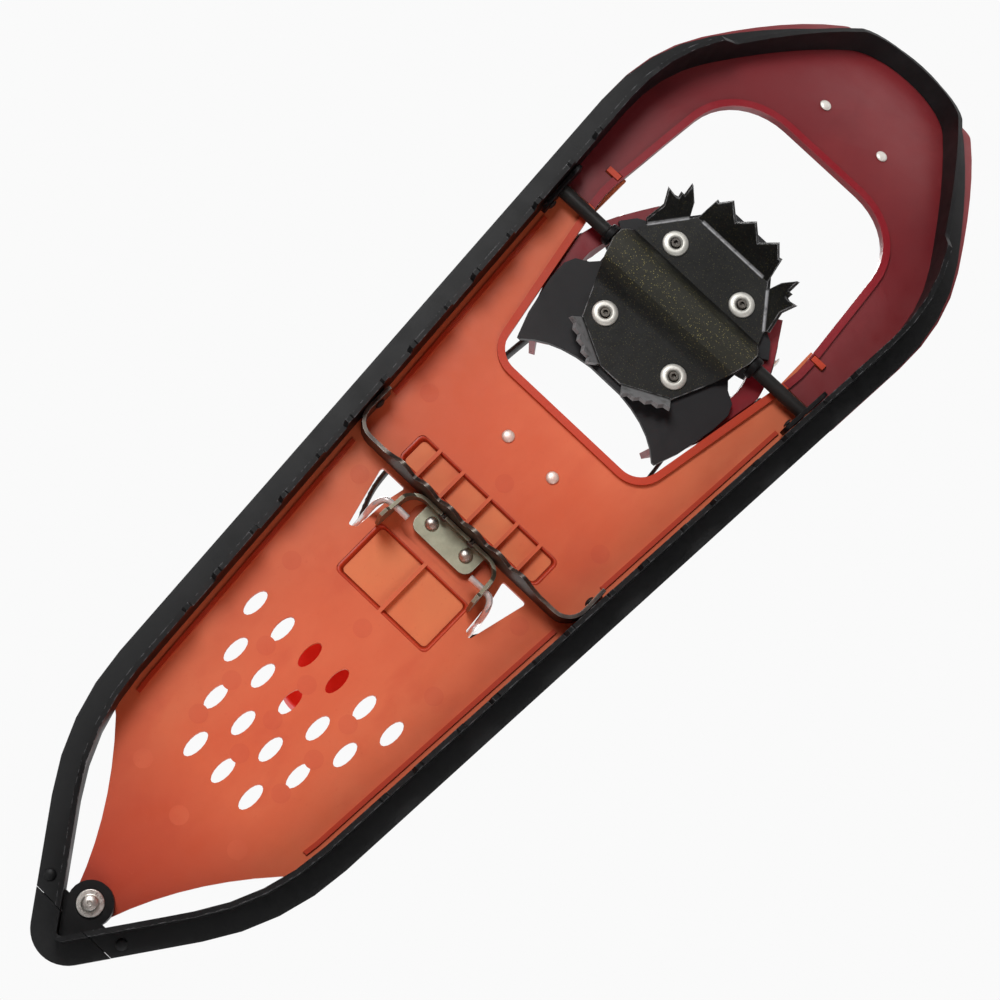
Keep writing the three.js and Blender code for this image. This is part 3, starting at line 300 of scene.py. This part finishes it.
# ---------------------------------------------------------------- CAD pieces shown as they are
def dress(name, material, bevel=0.0003, angle=40):
    """A CAD node with softened edges, smooth round faces and its own finish."""
    o = NODES[name]
    o.data.materials.clear()
    o.data.materials.append(material)
    for face in o.data.polygons:
        face.use_smooth = True
    weld = o.modifiers.new("weld", "WELD")
    weld.merge_threshold = 0.00001
    if bevel:
        soft = o.modifiers.new("soft_edges", "BEVEL")
        soft.width = bevel
        soft.segments = 2
        soft.limit_method = "ANGLE"
        soft.angle_limit = math.radians(angle)
        soft.use_clamp_overlap = True
    normals = o.modifiers.new("normals", "WEIGHTED_NORMAL")
    normals.mode = "FACE_AREA"
    normals.weight = 100
    normals.keep_sharp = True
    return o


FINISHES = {
    "frame_rail": (BLACK_COAT, 0.00045), "axle_bracket_left": (BLACK_COAT, 0.0004),
    "axle_bracket_right": (BLACK_COAT, 0.0004), "toe_deck": (MAROON, 0.0005), "rear_deck": (ORANGE, 0.0004),
    "tail_cap": (BLACK, 0.0006), "axle_collar_left": (BLACK, 0.0004), "axle_collar_right": (BLACK, 0.0004),
    "crossbar_crampon": (ZINC_DARK, 0.0003), "heel_crampon": (ZINC, 0.0003), "toe_crampon": (CRAMPON, 0.0004),
    "footplate": (DARK, 0.0005), "cradle_left": (CRIMSON, 0.0006), "cradle_right": (CRIMSON, 0.0006),
    "buckle_frame": (BLACK, 0.0006), "buckle_lever": (CRIMSON, 0.0006), "toe_slider": (BLACK, 0.0005),
}
for node_name, (finish, width) in FINISHES.items():
    dress(node_name, finish, width)


# ---------------------------------------------------------------- mesh helpers
def add(name, mesh, material, body, smooth=True):
    o = bpy.data.objects.new(name, mesh)
    bpy.context.scene.collection.objects.link(o)
    mesh.materials.append(material)
    for face in mesh.polygons:
        face.use_smooth = smooth
    if body:
        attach(o, body)
    return o


def round_edges(o, width=0.0002, segments=2, angle=35):
    soft = o.modifiers.new("soft_edges", "BEVEL")
    soft.width = width
    soft.segments = segments
    soft.limit_method = "ANGLE"
    soft.angle_limit = math.radians(angle)
    soft.harden_normals = True
    return o


def turned(name, profile, material, body, place, axis=(0, 0, 1), count=48, sides=None):
    """A turned piece: profile is (radius, height) in mm from one end of the axis to the other.
    sides gives, for a ring index, a polygon count that flattens that ring into a driver socket."""
    bm = bmesh.new()
    rings = []
    for i, (radius, height) in enumerate(profile):
        if radius == 0:
            rings.append([bm.verts.new((0, 0, height * MM))])
            continue
        ring = []
        flats = (sides or {}).get(i)
        for k in range(count):
            a = 2 * math.pi * k / count
            r = radius
            if flats:
                step = 2 * math.pi / flats
                r = radius * math.cos(step / 2) / math.cos((a % step) - step / 2)
            ring.append(bm.verts.new((r * math.cos(a) * MM, r * math.sin(a) * MM, height * MM)))
        rings.append(ring)
    for a, b in zip(rings, rings[1:]):
        for k in range(count):
            j = (k + 1) % count
            if len(a) == 1:
                bm.faces.new((a[0], b[j], b[k]))
            elif len(b) == 1:
                bm.faces.new((a[k], a[j], b[0]))
            else:
                bm.faces.new((a[k], a[j], b[j], b[k]))
    bmesh.ops.recalc_face_normals(bm, faces=bm.faces[:])
    turn = Vector(axis).normalized().to_track_quat("Z", "Y").to_matrix().to_4x4()
    bm.transform(Matrix.Translation(place) @ turn)
    mesh = bpy.data.meshes.new(name)
    bm.to_mesh(mesh)
    bm.free()
    return round_edges(add(name, mesh, material, body, True), 0.00012, 2, 30)


def catmull(points, count):
    """count + 1 points along a smooth line through the given ones."""
    last = len(points) - 1
    line = []
    for n in range(count + 1):
        f = n / count * last
        i = min(int(f), last - 1)
        t = f - i
        p = [Vector(points[max(i - 1, 0)]), Vector(points[i]), Vector(points[i + 1]),
             Vector(points[min(i + 2, last)])]
        v0, v1 = (p[2] - p[0]) / 2, (p[3] - p[1]) / 2
        line.append((2 * p[1] - 2 * p[2] + v0 + v1) * t ** 3 + (-3 * p[1] + 3 * p[2] - 2 * v0 - v1) * t ** 2
                    + v0 * t + p[1])
    return line


def loft(name, sections, material, body, closed_path=False):
    """A skin over equal rings of points, capped at both ends."""
    bm = bmesh.new()
    rings = [[bm.verts.new(p) for p in ring] for ring in sections]
    size = len(rings[0])
    pairs = list(zip(rings, rings[1:])) + ([(rings[-1], rings[0])] if closed_path else [])
    for a, b in pairs:
        for k in range(size):
            j = (k + 1) % size
            bm.faces.new((a[k], a[j], b[j], b[k]))
    if not closed_path:
        bm.faces.new(rings[0])
        bm.faces.new(list(reversed(rings[-1])))
    bmesh.ops.recalc_face_normals(bm, faces=bm.faces[:])
    mesh = bpy.data.meshes.new(name)
    bm.to_mesh(mesh)
    bm.free()
    return add(name, mesh, material, body, True)


# ---------------------------------------------------------------- fasteners
def dome(head, height, steps=6):
    return [(head * math.sin(math.pi / 2 * k / steps), -height * math.cos(math.pi / 2 * k / steps))
            for k in range(steps + 1)]


def rivet(node, body, place, axis, head, height, material, shank=1.0, length=1.0):
    """A domed rivet: place is the seat of its head, axis points from the head into the work."""
    profile = dome(head, height) + [(shank, 0), (shank, length), (0, length)]
    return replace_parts(turned(node + "_look", profile, material, body, place, axis, 32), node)


for side, s in (("left", -1), ("right", 1)):
    rivet(f"deck_rivet_{side}", "snowshoe", at(s * 14.5, -3, 21.5), (0, 0, 1), 3.2, 1.5, SILVER, 1.5, 2.8)
    tilt = -(-170 + 248.5) / 205
    rivet_z = 19 + 205 - (205 - 2.5) * math.cos(tilt)
    rivet_y = -170 + (205 - 2.5) * math.sin(tilt)
    rivet(f"toe_rivet_{side}", "snowshoe", at(s * 19.2, rivet_y, rivet_z),
          (0, math.sin(-tilt), math.cos(tilt)),
          3.1, 1.4, SILVER, 1.5, 2.8)
    rivet(f"heel_rivet_{side}", "snowshoe", at(s * 11, 54, 18.5), (0, 0, 1), 3.5, 2.1, STEEL, 1.5, 7.3)
    rivet(f"web_rivet_{side}", "snowshoe", at(s * 9, 49.4, 15), (0, -1, 0), 2.4, 1.2, ZINC_DARK, 1.2, 4.2)
    rivet(f"crossbar_rivet_{side}", "snowshoe", at(s * 68.1, 30, 14.5), (s, 0, 0), 2.8, 1.5, ROD_COAT, 1.3, 2)
    rivet(f"axle_bracket_rivet_{side}", "snowshoe", at(s * 77.8, -100.5, 14), (s, 0, 0), 2.6, 1.2, ROD_COAT,
          1.3, 2)
    rivet(f"toe_strap_rivet_{side}", "binding", at(s * 52.3, -127, 38), (-s, 0, 0), 3.4, 1.4, STEEL, 1.4, 6.3)
    rivet(f"instep_strap_rivet_{side}", "binding", at(s * 61.8, -96, 38), (-s, 0, 0), 3.4, 1.4, STEEL, 1.4,
          6.3)
    rivet(f"heel_pivot_{side}", "binding", at(s * 52.9, -76, 56), (-s, 0, 0), 4, 1.6, STEEL, 1.5, 9.8)
    rivet(f"heel_pad_rivet_{side}", "heel_loop", at(s * 23.7, 107, 59.5), (-s, 0, 0), 3.2, 1.3, STEEL, 1.2,
          7.8)
    rivet(f"tail_screw_{side}", "snowshoe", at(s * 22.5, 290.5, 18.7), (0, 0, 1), 2.9, 1.3, BLACK_COAT, 1.3,
          4.5)

SOCKET_SCREW = [(0, -0.2), (1.1, -0.3), (1.25, -1.9), (2.15, -1.9), (2.3, -1.7), (2.3, 1), (2.2, 4.7),
                (0, 4.7)]
CUP_WASHER = [(2.5, 1.5), (2.5, 0.2), (3.0, -0.9), (3.7, -1.45), (4.6, -1.5), (5.6, -1.25), (6.3, -0.7),
              (6.5, -0.1),
              (6.5, 0.1), (3.2, 0.15), (2.5, 1.5)]
for row, x, y in (("front", 22, -129.8), ("rear", 22.6, -79.4)):
    for side, s in (("left", -1), ("right", 1)):
        seat = at(s * x, y, 16.9)
        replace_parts(turned(f"washer_{row}_{side}_look", CUP_WASHER, SILVER, "binding", seat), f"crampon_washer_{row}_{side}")
        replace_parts(turned(f"screw_{row}_{side}_look", SOCKET_SCREW, ZINC_DARK, "binding", seat, count=36,
                           sides={1: 6, 2: 6}), f"crampon_screw_{row}_{side}")

WASHER = [(3.3, 0.9), (3.3, 0.0), (6.1, 0.0), (6.4, 0.2), (6.4, 0.9), (3.3, 0.9)]
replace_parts(turned("tail_washer_look", WASHER, STEEL, "snowshoe", at(0, 287.2, 11.8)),
            "tail_washer")
BOLT = [(0, -2.0), (1.2, -2.0), (1.25, -3.0), (2.2, -2.9), (3.4, -2.2), (4.1, -0.9), (4.2, 0), (2.7, 0),
        (2.7, 14.2), (0, 14.2)]
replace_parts(turned("tail_bolt_look", BOLT, STEEL, "snowshoe", at(0, 287.2, 11.5), sides={1: 6, 2: 6}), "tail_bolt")

ROD = [(0, -80), (2.9, -80), (3.5, -79.4), (3.5, 79.4), (2.9, 80), (0, 80)]
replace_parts(turned("axle_rod_look", ROD, ROD_COAT, "binding", at(0, -110, 15.5), (1, 0, 0), 40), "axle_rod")


# ---------------------------------------------------------------- heel lifter bail
def tube(name, line, radius, material, body, count=14):
    """A round wire along a line of points, with rounded ends."""
    sections = []
    up = Vector((0, 0, 1))
    for i, p in enumerate(line):
        t = (line[min(i + 1, len(line) - 1)] - line[max(i - 1, 0)]).normalized()
        a = up - t * up.dot(t)
        if a.length < 0.2:
            a = Vector((0, 1, 0)) - t * t.y
        a.normalize()
        if sections and a.dot(last) < 0:
            a = -a
        last = a
        b = t.cross(a)
        end = min(i, len(line) - 1 - i)
        r = radius * (0.55, 0.88, 1)[min(end, 2)]
        turns = [2 * math.pi * k / count for k in range(count)]
        sections.append([p + (a * math.cos(turn) + b * math.sin(turn)) * r for turn in turns])
    return loft(name, sections, material, body)


BAIL_Z = 30.5
half = [(20.4, 61.5, 11), (20.9, 61.5, 11), (30.0, 61.5, 11), (34.0, 62.9, 11.3), (36.0, 66.4, 14.2),
        (36.8, 70.4, 21),
        (37.0, 75, 28), (37, 80, BAIL_Z), (36.8, 93, BAIL_Z), (34.5, 98.6, BAIL_Z), (28, 100, BAIL_Z)]
bail = [at(-x, y, z) for x, y, z in half] + [at(0, 100, BAIL_Z)] + [at(x, y, z) for x, y, z in reversed(half)]
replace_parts(tube("heel_lifter_look", catmull(bail, 260), 1.6 * MM, CHROME, "lifter"),
            "heel_lifter")


# ---------------------------------------------------------------- straps
def arch(wide, high, count):
    side = [(59.6, 31), (57.2, 44), (54.6, 57), (47, 69), (33, 77.5), (16, 81.5)]
    points = side + [(0, 82.5)] + [(-x, z) for x, z in reversed(side)]
    line = catmull([(x * wide, 31 + (z - 31) * high, 0) for x, z in points], count)
    return [(p.x, p.y) for p in line]


def strap_section(width, thickness, lift):
    """Ring of (across, outward) points: a flat strap with rounded edges and a raised middle rack."""
    half_w = width / 2
    rim = 0.55
    outer = [(-half_w + 0.6, 0), (-half_w, rim), (-half_w, thickness - rim), (-half_w + 0.6, thickness)]
    rack = [(-half_w * 0.62, thickness), (-half_w * 0.55, thickness + lift),
            (half_w * 0.55, thickness + lift),
            (half_w * 0.62, thickness)]
    return outer + rack + [(half_w - 0.6, thickness), (half_w, thickness - rim), (half_w, rim),
                           (half_w - 0.6, 0)]


STRAP_STEPS = 240        # sections along a strap
STRAP_THICK = 1.7        # mm
HEEL_STRAP_THICK = 1.9   # mm
STRAP_END = 8            # sections over which a strap's end rounds off


def band(name, node, wide, high, y, width, taper, rack_from, rack_to):
    line = arch(wide, high, STRAP_STEPS)
    sections = []
    for i, (x, z) in enumerate(line):
        x0, z0 = line[max(i - 1, 0)]
        x1, z1 = line[min(i + 1, STRAP_STEPS)]
        length = math.hypot(x1 - x0, z1 - z0)
        tx, tz = (x1 - x0) / length, (z1 - z0) / length
        nx, nz = tz, -tx
        part = i / STRAP_STEPS
        tooth = (i % 4) / 3 if rack_from < part < rack_to else 0.0
        ring = []
        narrow = 1.0
        end = min(i, STRAP_STEPS - i)
        if end < STRAP_END:
            narrow = 0.55 + 0.45 * math.sin(math.pi / 2 * end / STRAP_END)
        for across, out in strap_section(width * narrow, STRAP_THICK, 0.45 * tooth):
            ring.append(at((x + nx * out) * (1 + taper * across), y + across, z + nz * out))
        sections.append(ring)
    o = loft(name, sections, STRAP, "binding")
    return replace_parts(o, node)


band("toe_strap_look", "toe_strap", 0.83, 0.78, -127, 20, 0.0112, 0.36, 0.9)
band("instep_strap_look", "instep_strap", 1, 1, -96, 24, 0, 0.30, 0.9)

HEEL_LINE = [(44.2, -85), (44.2, -66), (46.8, -40), (49, 0), (48.6, 44), (43.5, 64), (36, 77), (28.5, 88),
             (23.8, 98), (21.5, 108), (20.8, 116)]
LOWER = [(-90, 49.4), (-66, 49.4), (-30, 50.2), (40, 54.2), (130, 54.2)]
UPPER = [(-90, 62.6), (-66, 62.6), (-30, 65.7), (60, 66.7), (100, 64.7), (130, 63.7)]


def level(line, y):
    for (y0, z0), (y1, z1) in zip(line, line[1:]):
        if y <= y1:
            return z0 + (z1 - z0) * (y - y0) / (y1 - y0)
    return line[-1][1]


for side, s in (("left", -1), ("right", 1)):
    sections = []
    count = 200
    line = catmull([(x, y, 0) for x, y in HEEL_LINE], count)
    for i, p in enumerate(line):
        t = (line[min(i + 1, count)] - line[max(i - 1, 0)]).normalized()
        n = Vector((t.y, -t.x, 0))
        low, high = level(LOWER, p.y), level(UPPER, p.y)
        middle, width = (low + high) / 2, high - low
        end = min(i, count - i)
        if end < 12:
            width *= 0.45 + 0.55 * math.sin(math.pi / 2 * end / 12)
        tooth = (i % 4) / 3 if 0.22 < i / count < 0.62 else 0.0
        ring = []
        for across, out in strap_section(width, HEEL_STRAP_THICK, 0.35 * tooth):
            q = p + n * (out - 1.15)
            ring.append(at(s * q.x, q.y, middle + across))
        sections.append(ring)
    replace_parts(loft(f"heel_strap_{side}_look", sections, STRAP, "heel_loop"),
                f"heel_strap_{side}")


# ---------------------------------------------------------------- heel pad
def heel_pad():
    """A soft cup: floor and wall with round rims, open to the front and the top."""
    outer = [(21.4, 98.4), (20.3, 104), (19.3, 110), (19.0, 118), (18.6, 128), (17.3, 139), (13.5, 149),
             (8, 156.4)]
    inner = [(18.6, 98.4), (17.4, 104), (16.4, 110), (16.1, 118), (15.7, 128), (14.5, 137.5), (11, 146.5),
             (6.3, 152.9)]
    outer += [(0, 158.2)] + [(-x, y) for x, y in reversed(outer)]
    inner += [(0, 154.2)] + [(-x, y) for x, y in reversed(inner)]
    a = catmull([(x, y, 0) for x, y in outer], 84)
    b = catmull([(x, y, 0) for x, y in inner], 84)
    floor, rim = 42.2, 65.8
    rings = []
    for p, q in zip(a, b):
        def mixed(t, z):
            c = p.lerp(q, t)
            return at(c.x, c.y, z)
        rings.append([mixed(0.25, floor), mixed(0.0, floor + 1.2), mixed(0.0, 48), mixed(0.0, 60),
                      mixed(0.0, rim - 1.4), mixed(0.2, rim - 0.3), mixed(0.5, rim), mixed(0.8, rim - 0.3),
                      mixed(1.0, rim - 1.4), mixed(1.0, 54), mixed(1.0, floor + 3), mixed(1.0, floor + 1)])
    wall = loft("heel_pad_look", rings, RED, "heel_loop")
    bm = bmesh.new()
    edge_low = [bm.verts.new(at(p.x * 0.97, 98.6 + (p.y - 98.6) * 0.985, floor)) for p in a]
    edge_high = [bm.verts.new(at(p.x * 0.97, 98.6 + (p.y - 98.6) * 0.985, floor + 3)) for p in a]
    bm.faces.new(edge_low)
    bm.faces.new(list(reversed(edge_high)))
    size = len(a)
    for k in range(size):
        j = (k + 1) % size
        bm.faces.new((edge_low[k], edge_low[j], edge_high[j], edge_high[k]))
    bmesh.ops.recalc_face_normals(bm, faces=bm.faces[:])
    mesh = bpy.data.meshes.new("heel_pad_floor_look")
    bm.to_mesh(mesh)
    bm.free()
    base = round_edges(add("heel_pad_floor_look", mesh, RED, "heel_loop", False), 0.0006, 3)
    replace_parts(wall, "heel_pad")
    return wall, base


heel_pad()


# ---------------------------------------------------------------- mould marks on the decks
def discs(name, spots, radius, z, material):
    bm = bmesh.new()
    for x, y in spots:
        ring = []
        for k in range(28):
            a = 2 * math.pi * k / 28
            ring.append(at(x + radius * math.cos(a), y + radius * math.sin(a), z))
        low = [bm.verts.new(p - Vector((0, 0, 0.00006))) for p in ring]
        high = [bm.verts.new(p + Vector((0, 0, 0.0003))) for p in ring]
        bm.faces.new(list(reversed(low)))
        bm.faces.new(high)
        for k in range(28):
            j = (k + 1) % 28
            bm.faces.new((low[k], low[j], high[j], high[k]))
    bmesh.ops.recalc_face_normals(bm, faces=bm.faces[:])
    mesh = bpy.data.meshes.new(name)
    bm.to_mesh(mesh)
    bm.free()
    return add(name, mesh, material, "snowshoe", False)


MARK = moulded("ejector_mark", srgb(195, 89, 55), srgb(203, 104, 69), srgb(188, 81, 52), None, 0.5,
               specular=0.35)
spots = [(x, y) for y in (149, 171.5, 193) for x in (-26.4, 0, 26.4)]
spots += [(-52, 60), (52, 60), (-46, 112), (46, 112), (0, 112), (-56, 8), (56, 8), (0, 15), (0, 232),
          (-30, 225),
          (30, 225)]
discs("ejector_marks", spots, 4.6, 21.8, MARK)


# ---------------------------------------------------------------- sloped lips inside the deck pockets, coloured with painted shade
def rounded(x0, x1, y0, y1, radius, steps=7):
    points = []
    for cx, cy, start in ((x1 - radius, y1 - radius, 0), (x0 + radius, y1 - radius, 90),
                          (x0 + radius, y0 + radius, 180), (x1 - radius, y0 + radius, 270)):
        for k in range(steps + 1):
            a = math.radians(start + 90 * k / steps)
            points.append((cx + radius * math.cos(a), cy + radius * math.sin(a)))
    return points


def pocket_lip(name, x0, x1, y0, y1, side, front, rear):
    """A wedge all round a pocket: flush with the deck outside, falling to the pocket floor inside; its darker colour
    is painted shade.
    """
    wall = rounded(x0 + 0.05, x1 - 0.05, y0 + 0.05, y1 - 0.05, 3)
    foot = rounded(x0 + side, x1 - side, y0 + front, y1 - rear, 2.2)
    sections = [[at(wx, wy, 22.0), at(wx, wy, 25.5), at(fx, fy, 25.5)] for (wx, wy),
                (fx, fy) in zip(wall, foot)]
    return loft(name, sections, LIP_SHADE, "snowshoe", True)


pocket_lip("front_pocket_lip", -45, 45, 24.5, 41.5, 2.8, 1.2, 1.6)
pocket_lip("rear_pocket_lip", -29.4, 29.4, 69.2, 101, 2.6, 1.2, 2.8)


# ---------------------------------------------------------------- stage
STAGE_HALF = 4.0         # m from the middle of a stage sheet to its edge
FLOOR_Z = -0.0002        # m, just clear of the teeth
BACKDROP_Z = 0.30        # m, above everything at rest


def see_through(s, face, hidden):
    """The face where hidden is 0, nothing where it is 1."""
    clear = s.node("ShaderNodeBsdfTransparent")
    blend = s.node("ShaderNodeMixShader")
    s.put(blend.inputs[0], hidden)
    s.put(blend.inputs[1], face.outputs[0])
    s.put(blend.inputs[2], clear.outputs[0])
    s.put(s.output.inputs["Surface"], blend.outputs[0])
    return s.material


def one_way(name, colour, rough):
    """Seen from its front side only, and lets light through."""
    s = Shader(name)
    tint = s.mix(s.ramp(s.noise(2, 2), 0.3, 0.7), colour, tuple(c * 0.985 for c in colour))
    face = s.node("ShaderNodeBsdfDiffuse", {"Color": tint, "Roughness": rough})
    back = s.node("ShaderNodeNewGeometry").outputs["Backfacing"]
    shadow = s.node("ShaderNodeLightPath").outputs["Is Shadow Ray"]
    return see_through(s, face, s.math("MAXIMUM", back, shadow))


def sheet_of(name, size, z, up, material):
    bm = bmesh.new()
    corners = [(-size, -size), (size, -size), (size, size), (-size, size)]
    if not up:
        corners.reverse()
    bm.faces.new([bm.verts.new((x, y, z)) for x, y in corners])
    mesh = bpy.data.meshes.new(name)
    bm.to_mesh(mesh)
    bm.free()
    o = bpy.data.objects.new(name, mesh)
    bpy.context.scene.collection.objects.link(o)
    mesh.materials.append(material)
    o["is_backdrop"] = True
    return o


def plain_backdrop(name):
    """One even pale tone, seen from below only; it neither lights nor shades the shoe."""
    s = Shader(name)
    glow = s.node("ShaderNodeEmission", {"Color": srgb(250, 250, 250), "Strength": 1.0})
    back = s.node("ShaderNodeNewGeometry").outputs["Backfacing"]
    seen = s.node("ShaderNodeLightPath").outputs["Is Camera Ray"]
    return see_through(s, glow, s.math("MAXIMUM", back, s.math("SUBTRACT", 1.0, seen)))


sheet_of("studio_floor", STAGE_HALF, FLOOR_Z, True, one_way("pale_floor", (0.86, 0.86, 0.86), 0.9))
sheet_of("studio_backdrop", STAGE_HALF, BACKDROP_Z, False, plain_backdrop("pale_backdrop"))

world = bpy.data.worlds.new("studio")
bpy.context.scene.world = world
world.use_nodes = True
world.node_tree.nodes["Background"].inputs["Color"].default_value = (1, 1, 1, 1)
world.node_tree.nodes["Background"].inputs["Strength"].default_value = 0.75


def area(name, place, target, size, power):
    light = bpy.data.lights.new(name, "AREA")
    light.shape = "SQUARE"
    light.size = size
    light.energy = power
    o = bpy.data.objects.new(name, light)
    bpy.context.scene.collection.objects.link(o)
    o.location = place
    o.rotation_euler = (Vector(target) - Vector(place)).to_track_quat("-Z", "Y").to_euler()
    return o


area("key_below", (-0.75, -0.35, -1.25), (0, 0, 0), 0.55, 16)
area("fill_below", (1.0, 0.7, -1.1), (0, 0, 0), 0.9, 7)
area("key_above", (-0.9, -0.8, 1.5), (0, 0, 0), 0.8, 22)
area("fill_above", (1.1, 0.9, 1.3), (0, 0, 0), 1.1, 10)

# ---------------------------------------------------------------- camera
EYE = at(87.8, 269.2, -1067.1)
AIM = at(4.2, 23.0, 19)
ROLL = math.radians(44.40)       # the toe points this far clockwise from the top of the picture
forward = (AIM - EYE).normalized()
toe = Vector((0, -1, 0))
toe = (toe - forward * toe.dot(forward)).normalized()
across = forward.cross(toe)
up = toe * math.cos(ROLL) - across * math.sin(ROLL)
right = across * math.cos(ROLL) + toe * math.sin(ROLL)
lens = bpy.data.cameras.new("camera")
lens.lens = 85
lens.sensor_width = 36
lens.clip_start = 0.01
camera = bpy.data.objects.new("camera", lens)
bpy.context.scene.collection.objects.link(camera)
camera.matrix_world = Matrix.Translation(EYE) @ Matrix((right, up, -forward)).transposed().to_4x4()
bpy.context.scene.camera = camera
bpy.context.scene.view_settings.view_transform = "Standard"

low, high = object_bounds()
